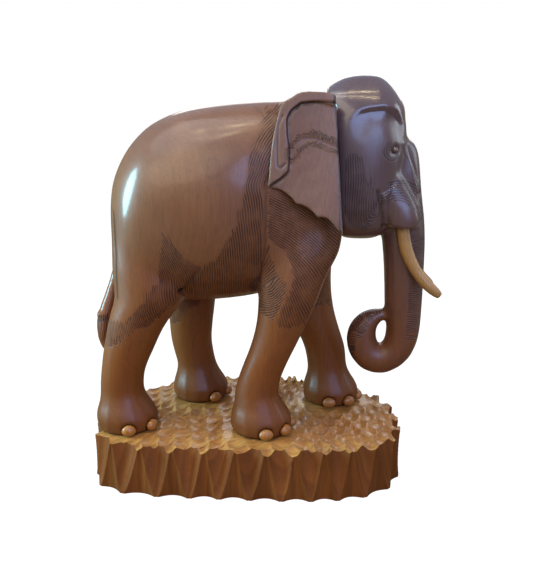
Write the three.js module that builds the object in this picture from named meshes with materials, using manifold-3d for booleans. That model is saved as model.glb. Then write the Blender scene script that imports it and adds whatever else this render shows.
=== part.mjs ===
// A carved elephant walking on a gouged plinth. Millimetres, +Z up, the elephant faces +X.
// The origin is on the plinth's underside. The elephant's own group starts at the plinth's top face,
// so every height in its tables is counted from the ground that it walks on.
import * as THREE from "three";
import { mergeVertices } from "three/addons/utils/BufferGeometryUtils.js";
import Module from "manifold-3d";

const wasm = await Module();
wasm.setup();

const clearance = 0.3; // between any two pieces that touch

const plinth = {
  height: 80,
  length: 520,
  nearWidth: 173, // from the centre line to the edge on the elephant's right
  farWidth: 198,
  setBack: 3, // its middle lies this far behind the origin
  flutes: 30,
  fluteDepth: 13,
  fluteShift: 0.5, // how far round the first flute starts, in flutes
  // How square each corner is: 2 is an ellipse's corner.
  squareness: { frontRight: 3.3, rearRight: 5, rearLeft: 1.9, frontLeft: 2.1 },
};
const plinthFront = plinth.length / 2 - plinth.setBack;
const plinthRear = -plinth.length / 2 - plinth.setBack;

// The trunk of the body, section by section from the rump to the neck. A section's squareness is 2 where
// it is an ellipse.
const torsoSections = [
  { x: -231, top: 385, bottom: 345, halfWidth: 18, squareness: 2 },
  { x: -228, top: 406, bottom: 296, halfWidth: 46, squareness: 2.1 },
  { x: -218, top: 432, bottom: 240, halfWidth: 75, squareness: 2.1 },
  { x: -199, top: 463, bottom: 213, halfWidth: 101, squareness: 2.2 },
  { x: -168, top: 494, bottom: 208, halfWidth: 119, squareness: 2.2 },
  { x: -125, top: 515, bottom: 206, halfWidth: 128, squareness: 2.2 },
  { x: -80, top: 526, bottom: 206, halfWidth: 131, squareness: 2.2 },
  { x: -30, top: 532, bottom: 211, halfWidth: 129, squareness: 2.2 },
  { x: 20, top: 535, bottom: 221, halfWidth: 119, squareness: 2.4 },
  { x: 70, top: 536, bottom: 238, halfWidth: 104, squareness: 2.8 },
  { x: 115, top: 538, bottom: 272, halfWidth: 92, squareness: 2.9 },
  { x: 165, top: 540, bottom: 345, halfWidth: 76, squareness: 2.6 },
];

const foot = { radius: 51, swellHeight: 22, padRadius: 50, padHeight: 8, soleRadius: 46 };
const ankle = { radius: 35.5, height: 66, setBack: 7 };
const heel = { radius: 41.5, height: 45 };

// Each leg from inside the body down to just above the ankle; `toes` is where its toes point, in degrees.
// A section's x is counted from the middle of the foot, and the outer feet stand in from the plinth's ends.
const legs = [
  {
    name: "right_hind",
    foot: [plinthRear + 56, -74],
    toes: 0,
    nails: 4,
    sections: [
      { x: 42, y: -60, z: 330, deep: 58, wide: 46 },
      { x: 45, y: -64, z: 270, deep: 62, wide: 52 },
      { x: 45, y: -68, z: 222, deep: 58, wide: 52 },
      { x: 31, y: -70, z: 196, deep: 52, wide: 47 },
      { x: 19, y: -72, z: 170, deep: 46, wide: 43 },
      { x: 6, y: -73, z: 132, deep: 41, wide: 39 },
      { x: -4, y: -74, z: 97, deep: 36, wide: 36 },
    ],
  },
  {
    name: "right_fore",
    foot: [19, -74],
    toes: 10,
    nails: 5,
    sections: [
      { x: 69, y: -52, z: 385, deep: 58, wide: 26 },
      { x: 61, y: -56, z: 340, deep: 70, wide: 38 },
      { x: 58, y: -61, z: 300, deep: 67, wide: 45 },
      { x: 50, y: -65, z: 265, deep: 57, wide: 46 },
      { x: 45, y: -68, z: 232, deep: 50, wide: 45 },
      { x: 39, y: -71, z: 202, deep: 44, wide: 41 },
      { x: 29.5, y: -73, z: 170, deep: 39, wide: 37 },
      { x: 16.5, y: -74, z: 136, deep: 36, wide: 35 },
      { x: 1.5, y: -74, z: 100, deep: 35, wide: 34 },
    ],
  },
  {
    name: "left_hind",
    foot: [-106, 74],
    toes: 24,
    nails: 4,
    sections: [
      { x: -34, y: 60, z: 320, deep: 60, wide: 46 },
      { x: -22, y: 66, z: 250, deep: 58, wide: 52 },
      { x: -14, y: 70, z: 200, deep: 46, wide: 46 },
      { x: -15, y: 72, z: 146, deep: 40, wide: 40 },
      { x: -15, y: 73, z: 106, deep: 37, wide: 37 },
    ],
  },
  {
    name: "left_fore",
    foot: [plinthFront - 120, 72],
    toes: -7,
    nails: 5,
    sections: [
      { x: -49, y: 52, z: 385, deep: 58, wide: 26 },
      { x: -59, y: 56, z: 340, deep: 68, wide: 38 },
      { x: -59, y: 62, z: 295, deep: 62, wide: 45 },
      { x: -55, y: 65, z: 255, deep: 53, wide: 47 },
      { x: -49, y: 68, z: 212, deep: 47, wide: 44 },
      { x: -38, y: 70, z: 170, deep: 42, wide: 40 },
      { x: -24, y: 71, z: 132, deep: 39, wide: 37 },
      { x: -12, y: 72, z: 100, deep: 37, wide: 35 },
    ],
  },
];

// Oval inlays round the toes of each foot, standing on the plinth's top face.
const nail = {
  halfWidth: 11,
  halfHeight: 9.5,
  halfThickness: 7,
  standOut: 1, // its middle lies this far outside the pad of the foot
  foreSpacing: 43, // degrees
  hindSpacing: 49,
};

const tailSections = [
  { x: -216, y: 0, z: 418, deep: 12, wide: 10 },
  { x: -227, y: 0, z: 385, deep: 10, wide: 10 },
  { x: -230, y: -2, z: 345, deep: 9, wide: 10 },
  { x: -228, y: -4, z: 300, deep: 9, wide: 10 },
  { x: -230, y: -8, z: 255, deep: 10, wide: 11 },
  { x: -241, y: -18, z: 212, deep: 12, wide: 14 },
  { x: -251, y: -30, z: 172, deep: 14, wide: 17 },
  { x: -250, y: -38, z: 142, deep: 12, wide: 14 },
  { x: -247, y: -42, z: 120, deep: 5, wide: 6 },
];

// The head, level by level from its crown down to the jaw.
const headSections = [
  { x: 179, z: 573, deep: 10, wide: 9 },
  { x: 177, z: 568, deep: 28, wide: 25 },
  { x: 175, z: 555, deep: 45, wide: 39 },
  { x: 172, z: 542, deep: 58, wide: 51 },
  { x: 171, z: 520, deep: 70, wide: 63 },
  { x: 172, z: 495, deep: 75, wide: 69 },
  { x: 172, z: 470, deep: 76, wide: 72 },
  { x: 171, z: 440, deep: 74, wide: 73 },
  { x: 170, z: 400, deep: 70, wide: 72 },
  { x: 170, z: 362, deep: 66, wide: 69 },
  { x: 172, z: 337, deep: 58, wide: 61 },
  { x: 175, z: 322, deep: 42, wide: 46 },
  { x: 177, z: 315, deep: 24, wide: 26 },
];
const headSquareness = 2.4;

// The trunk from its root between the eyes down and round to its tip, which touches the trunk again.
const trunkSections = [
  { x: 233, z: 477, deep: 12, wide: 11 },
  { x: 233, z: 470, deep: 27, wide: 24 },
  { x: 233, z: 450, deep: 36, wide: 31 },
  { x: 235, z: 425, deep: 37.5, wide: 34 },
  { x: 239, z: 385, deep: 38, wide: 36 },
  { x: 246, z: 345, deep: 37, wide: 37 },
  { x: 251, z: 310, deep: 35, wide: 36 },
  { x: 254, z: 250, deep: 32.5, wide: 33 },
  { x: 255, z: 195, deep: 31, wide: 30 },
  { x: 256, z: 155, deep: 28, wide: 28 },
  { x: 248, z: 123, deep: 26.5, wide: 27 },
  { x: 224, z: 103, deep: 25.5, wide: 26 },
  { x: 201, z: 108, deep: 26, wide: 26 },
  { x: 188, z: 130, deep: 26, wide: 25.5 },
  { x: 188, z: 152, deep: 24, wide: 24 },
  { x: 198, z: 170, deep: 18.5, wide: 20 },
  { x: 214, z: 180, deep: 12, wide: 15 },
  { x: 225, z: 182, deep: 8, wide: 11 },
];

// The thick lip round each tusk's root, on the side of the face.
const sheathSections = [
  { x: 222, y: -30, z: 425, deep: 14, wide: 16 },
  { x: 230, y: -34, z: 395, deep: 23, wide: 22 },
  { x: 240, y: -37, z: 368, deep: 27, wide: 24 },
  { x: 245, y: -38, z: 348, deep: 26, wide: 24 },
  { x: 246, y: -38, z: 336, deep: 24, wide: 22 },
];

// A tusk's centre line from the end of its tenon, inside the head, to its blunt tip.
const tusk = { rootRadius: 10.5, midRadius: 9.5, nearTipRadius: 7.5, tipRadius: 5.5 };
const tuskSections = [
  { x: 238, y: -37, z: 384, radius: tusk.rootRadius },
  { x: 243, y: -38, z: 350, radius: tusk.rootRadius },
  { x: 246, y: -39, z: 325, radius: tusk.rootRadius },
  { x: 252, y: -40, z: 298, radius: tusk.rootRadius },
  { x: 267, y: -41, z: 267, radius: tusk.midRadius },
  { x: 288, y: -42, z: 242, radius: tusk.midRadius },
  { x: 303, y: -43, z: 229, radius: tusk.nearTipRadius },
  { x: 308, y: -43, z: 225, radius: tusk.tipRadius },
];

const eye = { x: 226, z: 457, radius: 4.8, sunk: 1.8 };

// The head and the body meet on a plane that leans back a little.
const seam = { x: 132, z: 539, lean: 4, bottom: 258, top: 620 };

// Each ear is a slab hung from the neck. Its outlines are shares of its length back from the seam and of
// its drop from the top corner. It is tucked under the head's edge by the share `tuck`.
const ear = {
  length: 98,
  drop: 208,
  thickness: 24,
  flapRise: 5,
  halfSpread: 96,
  splay: 9,
  below: 6,
  tuck: 0.16,
};
const earTop = [[0, 0], [0.15, -0.02], [0.49, -0.024], [0.66, 0.014], [0.81, 0.065]];
const earRear = [[0.89, 0.2], [0.95, 0.36], [1, 0.65]];
const earLobes = [
  [[0.82, 0.66], [0.66, 0.71], [0.57, 0.76]],
  [[0.44, 0.775], [0.33, 0.81], [0.24, 0.855]],
  [[0.11, 0.86], [0.01, 0.9], [-0.13, 0.98]],
];
const flapInner = [
  [0.96, 0.64], [0.81, 0.59], [0.69, 0.54], [0.67, 0.48], [0.67, 0.37],
  [0.7, 0.28], [0.71, 0.17], [0.66, 0.115], [0.52, 0.06], [0.3, 0.05], [0.03, 0.07],
];

// Hidden dowels.
const footDowel = { radius: 8, intoFoot: 42, intoPlinth: 36 };
const neckDowel = { radius: 8, intoEach: 40, heights: [490, 400] };
const earDowel = { radius: 5, back: 38, down: 80, intoEar: 12, intoNeck: 22 };
const endPlay = 1; // empty length left at the end of each dowel's hole
const beyond = 500; // longer than any piece of the elephant is deep or wide

// ---- Shared shapes ----

const forward = new THREE.Vector3(1, 0, 0);
const down = new THREE.Vector3(0, 0, -1);
const sideways = new THREE.Vector3(0, 1, 0);

function toSolid(geometry) {
  const bare = new THREE.BufferGeometry();
  bare.setAttribute("position", geometry.getAttribute("position").clone());
  bare.setIndex(geometry.index);
  const merged = mergeVertices(bare, 1e-4);
  const triVerts = new Uint32Array(merged.index.array);
  const vertProperties = merged.getAttribute("position").array;
  return new wasm.Manifold(new wasm.Mesh({ numProp: 3, vertProperties, triVerts }));
}

function toGeometry(solid) {
  const mesh = solid.getMesh();
  const geometry = new THREE.BufferGeometry();
  geometry.setAttribute("position", new THREE.BufferAttribute(mesh.vertProperties, mesh.numProp));
  geometry.setIndex(new THREE.BufferAttribute(mesh.triVerts, 1));
  geometry.computeVertexNormals();
  return geometry;
}

// The same closed geometry on the other side of the XZ plane, with its faces still pointing out.
function mirrored(geometry) {
  const twin = geometry.index ? geometry.toNonIndexed() : geometry.clone();
  const position = twin.getAttribute("position");
  const corner = new THREE.Vector3();
  for (let i = 0; i < position.count; i += 3) {
    corner.fromBufferAttribute(position, i + 1);
    position.setXYZ(i + 1, position.getX(i + 2), position.getY(i + 2), position.getZ(i + 2));
    position.setXYZ(i + 2, corner.x, corner.y, corner.z);
  }
  return twin.scale(1, -1, 1);
}

// A closed tube through a row of sections. A section gives its centre and two half sizes: `wide` along Y
// and `deep` across both Y and the heading. Without a heading the sections stand square to their own path.
function sculptTube(sections, { sides = 16, perSection = 2, heading, grow = 0 }) {
  const centres = new THREE.CatmullRomCurve3(sections.map((s) => new THREE.Vector3(s.x, s.y ?? 0, s.z)));
  const sizes = new THREE.CatmullRomCurve3(
    sections.map((s) => new THREE.Vector3(s.deep + grow, s.wide + grow, s.squareness ?? 2)),
  );
  const tube = new THREE.CylinderGeometry(1, 1, 1, sides, (sections.length - 1) * perSection);
  const position = tube.getAttribute("position");
  for (let i = 0; i < position.count; i++) {
    const t = 0.5 - position.getY(i);
    const a = position.getX(i);
    const b = position.getZ(i);
    const size = sizes.getPoint(t);
    const reach = (Math.abs(a) ** size.z + Math.abs(b) ** size.z) ** (1 / size.z) || 1;
    const along = heading ?? centres.getTangent(t);
    const point = centres.getPoint(t);
    point.addScaledVector(new THREE.Vector3().crossVectors(sideways, along), (a / reach) * size.x);
    point.addScaledVector(sideways, (b / reach) * size.y);
    point.addScaledVector(along, grow * Math.sign(Math.round(2 * t - 1)));
    position.setXYZ(i, point.x, point.y, point.z);
  }
  return tube;
}

function cylinderBetween(from, to, radius) {
  const start = new THREE.Vector3(...from);
  const end = new THREE.Vector3(...to);
  const bar = new THREE.CylinderGeometry(radius, radius, start.distanceTo(end), 16);
  const turn = new THREE.Quaternion().setFromUnitVectors(sideways, end.clone().sub(start).normalize());
  return bar.applyQuaternion(turn).translate(...start.add(end).multiplyScalar(0.5));
}

// ---- The elephant's pieces, in the elephant's own group ----

function torso(grow) {
  const sections = torsoSections.map(({ x, top, bottom, halfWidth, squareness }) => ({
    x,
    z: (top + bottom) / 2,
    deep: (top - bottom) / 2,
    wide: halfWidth,
    squareness,
  }));
  return sculptTube(sections, { sides: 24, heading: forward, grow });
}

function legTube(leg, grow) {
  const [x, y] = leg.foot;
  const round = (z, radius, setBack = 0) => ({ x: x - setBack, y, z, deep: radius, wide: radius });
  const sections = [
    ...leg.sections.map((section) => ({ ...section, x: x + section.x })),
    round(ankle.height, ankle.radius, ankle.setBack),
    round(heel.height, heel.radius, ankle.setBack / 2),
    round(foot.swellHeight, foot.radius),
    round(foot.padHeight, foot.padRadius),
    round(clearance, foot.soleRadius),
  ];
  return sculptTube(sections, { sides: 14, heading: down, grow });
}

// Everything ahead of the seam plane (side 1) or behind it (side -1), starting `gap` away from the plane,
// within the height of the head.
function besideSeam(side, gap) {
  const block = new THREE.BoxGeometry(beyond, beyond, seam.top - seam.bottom);
  block.translate(side * (beyond / 2 + gap), 0, (seam.top + seam.bottom) / 2 - seam.z);
  block.rotateY(-THREE.MathUtils.degToRad(seam.lean));
  return toSolid(block.translate(seam.x, 0, seam.z));
}

const seamX = (z) => seam.x + (seam.z - z) * Math.tan(THREE.MathUtils.degToRad(seam.lean));

function nailShape(leg, index, grow) {
  const spacing = leg.nails > 4 ? nail.foreSpacing : nail.hindSpacing;
  const degrees = leg.toes + (index - (leg.nails - 1) / 2) * spacing;
  const ball = new THREE.SphereGeometry(1, 8, 6);
  ball.scale(nail.halfThickness + grow, nail.halfWidth + grow, nail.halfHeight + grow);
  ball.translate(foot.padRadius + nail.standOut, 0, nail.halfHeight + clearance);
  return ball.rotateZ(THREE.MathUtils.degToRad(degrees)).translate(leg.foot[0], leg.foot[1], 0);
}

function footDowelShape([x, y], grow) {
  const end = grow ? endPlay : 0;
  return cylinderBetween([x, y, -footDowel.intoPlinth - end], [x, y, footDowel.intoFoot + end],
    footDowel.radius + grow);
}

function neckDowelShape(z, grow) {
  const half = neckDowel.intoEach + (grow ? endPlay : 0);
  return cylinderBetween([seamX(z) - half, 0, z], [seamX(z) + half, 0, z], neckDowel.radius + grow);
}

// Moves a piece drawn flat in the ear's own plane (back from the seam, up, out) to its place on the neck.
function onEar(geometry) {
  geometry.rotateX(Math.PI / 2).rotateX(THREE.MathUtils.degToRad(-ear.splay));
  return geometry.translate(seamX(seam.z), -ear.halfSpread + ear.thickness, seam.z - ear.below);
}

const earPoint = ([back, drop]) => new THREE.Vector2(-back * ear.length, -drop * ear.drop);

function earSlab() {
  const outline = new THREE.Shape();
  outline.moveTo(0, 0);
  outline.splineThru([...earTop.slice(1), ...earRear].map(earPoint));
  for (const lobe of earLobes) outline.splineThru(lobe.map(earPoint));
  outline.lineTo(ear.tuck * ear.length, -ear.drop);
  return new THREE.ExtrudeGeometry(outline, { depth: ear.thickness, bevelEnabled: false, curveSegments: 3 });
}

function earFlap() {
  const outline = new THREE.Shape();
  outline.moveTo(0, 0);
  outline.splineThru([...earTop.slice(1), ...earRear].map(earPoint));
  outline.splineThru(flapInner.map(earPoint));
  const depth = ear.thickness + ear.flapRise;
  return new THREE.ExtrudeGeometry(outline, { depth, bevelEnabled: false, curveSegments: 3 });
}

function earDowelShape(grow) {
  const end = grow ? endPlay : 0;
  const peg = cylinderBetween(
    [-earDowel.back, -earDowel.down, -earDowel.intoNeck - end],
    [-earDowel.back, -earDowel.down, earDowel.intoEar + end],
    earDowel.radius + grow,
  );
  return onEar(peg);
}

function makeEar(side, neck) {
  const place = (geometry) => toSolid(side > 0 ? mirrored(onEar(geometry)) : onEar(geometry));
  const peg = earDowelShape(clearance);
  return place(earSlab())
    .add(place(earFlap()))
    .subtract(neck)
    .subtract(besideSeam(1, -clearance))
    .subtract(toSolid(side > 0 ? mirrored(peg) : peg));
}

function tuskShape(grow) {
  const sections = tuskSections.map((s) => ({ ...s, deep: s.radius, wide: s.radius }));
  return sculptTube(sections, { sides: 12, grow });
}

const eyeShape = (y, grow) => new THREE.SphereGeometry(eye.radius + grow, 10, 6).translate(eye.x, y, eye.z);

const onBothSides = (geometry) => [toSolid(geometry), toSolid(mirrored(geometry))];

function makeBody() {
  let body = toSolid(torso(0)).add(toSolid(sculptTube(tailSections, { sides: 12 })));
  for (const leg of legs) {
    body = body.add(toSolid(legTube(leg, 0)));
  }
  body = body.subtract(besideSeam(1, -clearance / 2));
  for (const leg of legs) {
    body = body.subtract(toSolid(footDowelShape(leg.foot, clearance)));
    for (let i = 0; i < leg.nails; i++) {
      body = body.subtract(toSolid(nailShape(leg, i, clearance)));
    }
  }
  for (const z of neckDowel.heights) {
    body = body.subtract(toSolid(neckDowelShape(z, clearance)));
  }
  for (const peg of onBothSides(earDowelShape(clearance))) {
    body = body.subtract(peg);
  }
  return body;
}

function makeHead() {
  const levels = headSections.map((section) => ({ ...section, squareness: headSquareness }));
  let head = toSolid(sculptTube(levels, { sides: 22, heading: down }));
  head = head.add(toSolid(sculptTube(trunkSections, {})));
  for (const sheath of onBothSides(sculptTube(sheathSections, { sides: 14, heading: down }))) {
    head = head.add(sheath);
  }
  head = head.subtract(besideSeam(-1, -clearance / 2));
  for (const socket of onBothSides(tuskShape(clearance))) {
    head = head.subtract(socket);
  }
  for (const z of neckDowel.heights) {
    head = head.subtract(toSolid(neckDowelShape(z, clearance)));
  }
  return head;
}

// How far out the solid's skin is at a place on the elephant's right side.
function skinY(solid, x, z) {
  const skin = new THREE.Mesh(toGeometry(solid));
  const caster = new THREE.Raycaster(new THREE.Vector3(x, -beyond, z), sideways);
  return caster.intersectObject(skin)[0].point.y;
}

// ---- The plinth ----

// The plinth's edge at an angle round its middle, before it is fluted.
function plinthEdge(angle) {
  const c = Math.cos(angle);
  const s = Math.sin(angle);
  const { frontRight, rearRight, rearLeft, frontLeft } = plinth.squareness;
  const n = s < 0 ? (c > 0 ? frontRight : rearRight) : c > 0 ? frontLeft : rearLeft;
  const width = s < 0 ? plinth.nearWidth : plinth.farWidth;
  const reach = (Math.abs(c / (plinth.length / 2)) ** n + Math.abs(s / width) ** n) ** (-1 / n);
  return new THREE.Vector2(c * reach, s * reach);
}

// A tapering scoop at one place on the edge. It is as wide as a flute at the top and runs out to nothing
// at the bottom, or the other way up.
function scoop(place, outward, pitch, opensUp) {
  const radius = (plinth.fluteDepth ** 2 + (pitch / 2) ** 2) / (2 * plinth.fluteDepth);
  const overrun = 1;
  const tipRadius = 0.2;
  const cone = new THREE.CylinderGeometry(radius, tipRadius, plinth.height + 2 * overrun, 10);
  const position = cone.getAttribute("position");
  for (let i = 0; i < position.count; i++) {
    const level = position.getY(i) / (plinth.height + 2 * overrun) + 0.5;
    position.setX(i, position.getX(i) + level * (radius - plinth.fluteDepth));
  }
  cone.rotateX(opensUp ? Math.PI / 2 : -Math.PI / 2);
  cone.rotateZ(Math.atan2(outward.y, outward.x));
  return toSolid(cone.translate(place.x, place.y, plinth.height / 2));
}

function makePlinth() {
  const outline = new THREE.Shape();
  const corners = 72;
  for (let i = 0; i < corners; i++) {
    const edge = plinthEdge((2 * Math.PI * i) / corners);
    if (i === 0) outline.moveTo(edge.x - plinth.setBack, edge.y);
    else outline.lineTo(edge.x - plinth.setBack, edge.y);
  }
  outline.closePath();
  let block = toSolid(new THREE.ExtrudeGeometry(outline, { depth: plinth.height, bevelEnabled: false }));

  const pitch = outline.getLength() / plinth.flutes;
  for (let i = 0; i < 2 * plinth.flutes; i++) {
    const along = (i / 2 + plinth.fluteShift) / plinth.flutes;
    const tangent = outline.getTangentAt(along % 1);
    const outward = new THREE.Vector2(tangent.y, -tangent.x);
    block = block.subtract(scoop(outline.getPointAt(along % 1), outward, pitch, i % 2 === 0));
  }
  for (const leg of legs) {
    const hole = footDowelShape(leg.foot, clearance).translate(0, 0, plinth.height);
    block = block.subtract(toSolid(hole));
  }
  return block;
}

// ---- The scene ----

const finishes = {
  body: { color: 0x8a4a26, roughness: 0.28 },
  plinth: { color: 0x7d4a22, roughness: 0.45 },
  inlay: { color: 0xd09a4a, roughness: 0.3 },
  eye: { color: 0x6a4a3a, roughness: 0.2 },
  dowel: { color: 0xc59a62, roughness: 0.8 },
};

function node(name, finish, shape) {
  const geometry = shape instanceof THREE.BufferGeometry ? shape : toGeometry(shape);
  const material = new THREE.MeshStandardMaterial({ ...finishes[finish], metalness: 0 });
  const mesh = new THREE.Mesh(geometry, material);
  mesh.name = name;
  return mesh;
}

const carving = new THREE.Group();
const elephant = new THREE.Group();
elephant.position.z = plinth.height;
carving.add(node("plinth", "plinth", makePlinth()), elephant);

const headBlank = makeHead();
const eyeY = skinY(headBlank, eye.x, eye.z) + eye.sunk;
let head = headBlank;
for (const socket of onBothSides(eyeShape(eyeY, clearance))) {
  head = head.subtract(socket);
}
elephant.add(node("body_and_legs", "body", makeBody()), node("head_and_trunk", "body", head));

let neck = toSolid(torso(clearance));
for (const leg of legs) {
  neck = neck.add(toSolid(legTube(leg, clearance)));
}

for (const [name, side] of [["right", -1], ["left", 1]]) {
  const onSide = (geometry) => (side > 0 ? mirrored(geometry) : geometry);
  elephant.add(
    node(name + "_ear", "body", makeEar(side, neck)),
    node(name + "_tusk", "inlay", onSide(tuskShape(0))),
    node(name + "_eye", "eye", onSide(eyeShape(eyeY, 0))),
    node(name + "_ear_dowel", "dowel", onSide(earDowelShape(0))),
  );
}

neckDowel.heights.forEach((z, i) => {
  elephant.add(node("neck_dowel_" + (i + 1), "dowel", neckDowelShape(z, 0)));
});

for (const leg of legs) {
  elephant.add(node(leg.name + "_foot_dowel", "dowel", footDowelShape(leg.foot, 0)));
  for (let i = 0; i < leg.nails; i++) {
    elephant.add(node(leg.name + "_toenail_" + (i + 1), "inlay", nailShape(leg, i, 0)));
  }
}

export default carving;
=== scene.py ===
# %% [markdown]
# # A carved wooden elephant on a gouged plinth
# The design comes as a fixed frame: every piece is already in place, in metres. This lesson gives each
# piece its carved surface and its finish. We load the frame first. The finished carving has to stay the
# same size.

# %% Load the frame
import math
import bmesh
import bpy
import numpy as np
from mathutils import Matrix, Vector


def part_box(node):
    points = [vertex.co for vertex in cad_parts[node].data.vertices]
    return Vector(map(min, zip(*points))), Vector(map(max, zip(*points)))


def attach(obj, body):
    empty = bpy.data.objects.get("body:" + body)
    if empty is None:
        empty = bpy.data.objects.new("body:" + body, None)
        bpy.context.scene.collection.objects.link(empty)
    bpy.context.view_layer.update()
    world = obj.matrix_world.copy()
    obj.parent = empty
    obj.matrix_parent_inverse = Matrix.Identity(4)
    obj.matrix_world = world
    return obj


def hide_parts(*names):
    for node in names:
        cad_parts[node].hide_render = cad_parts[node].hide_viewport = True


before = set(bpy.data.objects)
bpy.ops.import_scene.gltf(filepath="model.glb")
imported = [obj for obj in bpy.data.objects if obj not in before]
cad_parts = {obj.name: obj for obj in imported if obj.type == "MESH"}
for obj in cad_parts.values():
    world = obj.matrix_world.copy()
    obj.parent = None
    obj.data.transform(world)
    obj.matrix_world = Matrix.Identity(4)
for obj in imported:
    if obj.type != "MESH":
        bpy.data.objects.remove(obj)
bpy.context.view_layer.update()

mm = 0.001
print("the frame holds", len(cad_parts), "nodes")

# %% [markdown]
# ## Tools for carving
# A carver works one block with many small cuts. Blender can do that with sculpt brushes, but a script
# can't hold a brush, so we keep each surface as an even net of small faces and move its points by
# formulas. The frame's pieces are faceted, so each copy is merged, remeshed with small voxels and
# smoothed, which also rounds its arrises as sandpaper does.

# %% Copying a piece of the frame
def copy_of(node):
    """A merged copy of one node's mesh."""
    bm = bmesh.new()
    bm.from_mesh(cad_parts[node].data)
    bmesh.ops.remove_doubles(bm, verts=bm.verts, dist=0.01 * mm)
    return bm


def as_object(name, bm):
    mesh = bpy.data.meshes.new(name)
    bm.to_mesh(mesh)
    bm.free()
    piece = bpy.data.objects.new(name, mesh)
    bpy.context.scene.collection.objects.link(piece)
    return piece


def applied(piece):
    """The piece's mesh with its modifiers worked in, as a bmesh. The piece itself is removed."""
    bpy.context.view_layer.update()
    done = piece.evaluated_get(bpy.context.evaluated_depsgraph_get())
    bm = bmesh.new()
    bm.from_mesh(done.to_mesh())
    bpy.data.objects.remove(piece)
    return bm


def sanded(bm, voxel, rounds):
    """The same solid as an even net of faces one voxel wide, smoothed so that its arrises are soft."""
    rough = as_object("rough", bm)
    net = rough.modifiers.new("net", "REMESH")
    net.mode = "VOXEL"
    net.voxel_size = voxel
    soften = rough.modifiers.new("soften", "SMOOTH")
    soften.factor = 0.5
    soften.iterations = rounds
    return applied(rough)


# %% Moving all the points of a mesh at once
def points_of(bm):
    return np.array([v.co for v in bm.verts], float).reshape(-1, 3)


def normals_of(bm):
    bm.normal_update()
    return np.array([v.normal for v in bm.verts], float).reshape(-1, 3)


def push(bm, depth):
    """Moves every point along its normal by its own depth, outwards where that is positive."""
    moved = points_of(bm) + normals_of(bm) * depth[:, None]
    for vertex, place in zip(bm.verts, moved):
        vertex.co = place


def relax(bm, rounds, share):
    """Moves every point towards the middle of its neighbours, by its own share, round after round. The same
    rounds are run again to see how far they shrink the piece, and that much is given back."""
    bm.verts.index_update()
    ends = np.array([[v.index for v in e.verts] for e in bm.edges])
    starts, stops = np.concatenate([ends[:, 0], ends[:, 1]]), np.concatenate([ends[:, 1], ends[:, 0]])
    count = np.maximum(np.bincount(starts, minlength=len(bm.verts)), 1)

    def smoothed(points):
        for _ in range(rounds):
            middle = np.stack([np.bincount(starts, points[stops, k], len(points)) for k in range(3)], axis=1)
            points = points + share[:, None] * (middle / count[:, None] - points)
        return points

    once = smoothed(points_of(bm))
    for vertex, place in zip(bm.verts, 2 * once - smoothed(once)):
        vertex.co = place


def blend_in(value, start, end):
    """0 before start, 1 after end, and a smooth change between them."""
    t = np.clip((value - start) / (end - start), 0, 1)
    return t * t * (3 - 2 * t)


# %% [markdown]
# ## Lines and regions drawn on the side of the elephant
# Most of the carving is drawn on the elephant's flank, so a place is given there as (forward, up) in
# millimetres. A region is an outline on that side view, and a line is a few points. Both come out as
# distances, which then become a depth or a mask.

# %% Distances on the side view
def along_line(spots, line):
    """For each spot: how far it is from the line, and how far along the line its nearest point is."""
    line = np.array(line, float) * mm
    best = np.full(len(spots), np.inf)
    travel = np.zeros(len(spots))
    side = np.zeros(len(spots))
    done = 0.0
    for a, b in zip(line[:-1], line[1:]):
        step = b - a
        length = np.linalg.norm(step)
        t = np.clip((spots - a) @ step / length**2, 0, 1)
        gap = spots - (a + t[:, None] * step)
        distance = np.linalg.norm(gap, axis=1)
        closer = distance < best
        best = np.where(closer, distance, best)
        travel = np.where(closer, done + t * length, travel)
        side = np.where(closer, np.sign(step[0] * gap[:, 1] - step[1] * gap[:, 0]), side)
        done += length
    return best, travel, side


def reach_inside(spots, outline):
    """How far inside the outline each spot is, negative outside it."""
    ring = list(outline) + [outline[0]]
    distance = along_line(spots, ring)[0]
    inside = np.zeros(len(spots), bool)
    corners = np.array(ring, float) * mm
    for (ax, az), (bx, bz) in zip(corners[:-1], corners[1:]):
        crosses = (az > spots[:, 1]) != (bz > spots[:, 1])
        at = ax + (spots[:, 1] - az) * (bx - ax) / (bz - az if bz != az else 1)
        inside ^= crosses & (spots[:, 0] < at)
    return np.where(inside, distance, -distance)


def groove(distance, width):
    """A rounded groove's depth, 1 in its middle and 0 from width on."""
    return 1 - blend_in(distance, 0, width)


def cut_in(cuts, depth, painted_shade_and_marks):
    """Adds cuts to the depths and to the darkening, which is mostly painted shade. Each is the points'
    distances from it, where it is cut, its depth and width in mm, and how dark and how wide in mm its
    darkening is."""
    for distance, where, deep, width, shade, shade_width in cuts:
        depth -= deep * mm * groove(distance, width * mm) * where
        painted_shade_and_marks += shade * groove(distance, shade_width * mm) * where


# %% [markdown]
# ## Rows of tool strokes
# The fur and skin folds are rows of cuts from a V tool, about 3.6 mm apart, and they follow the form in
# long curves. To rule such rows, we draw a few strokes, let every place between them take its
# direction from the nearest ones, and look for a height whose level lines run along those directions.
# That height is found on a small grid by the method of conjugate gradients. Level lines that are one
# pitch apart are the cuts.

# %% The height whose level lines follow the strokes
tiny = 1e-30


def stroke_headings(gx, gz, strokes, step):
    """The direction at each place of the grid, taken mostly from the nearest strokes."""
    heading = np.zeros((*gx.shape, 2))
    for stroke in strokes:
        line = np.array(stroke, float) * mm
        for a, b in zip(line[:-1], line[1:]):
            way = (b - a) / np.linalg.norm(b - a)
            for t in (0.25, 0.75):
                spot = a + t * (b - a)
                weight = 1 / ((gx - spot[0]) ** 2 + (gz - spot[1]) ** 2 + (2 * step) ** 2) ** 2
                heading += weight[..., None] * way
    return heading / (np.linalg.norm(heading, axis=2)[..., None] + tiny)


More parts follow.
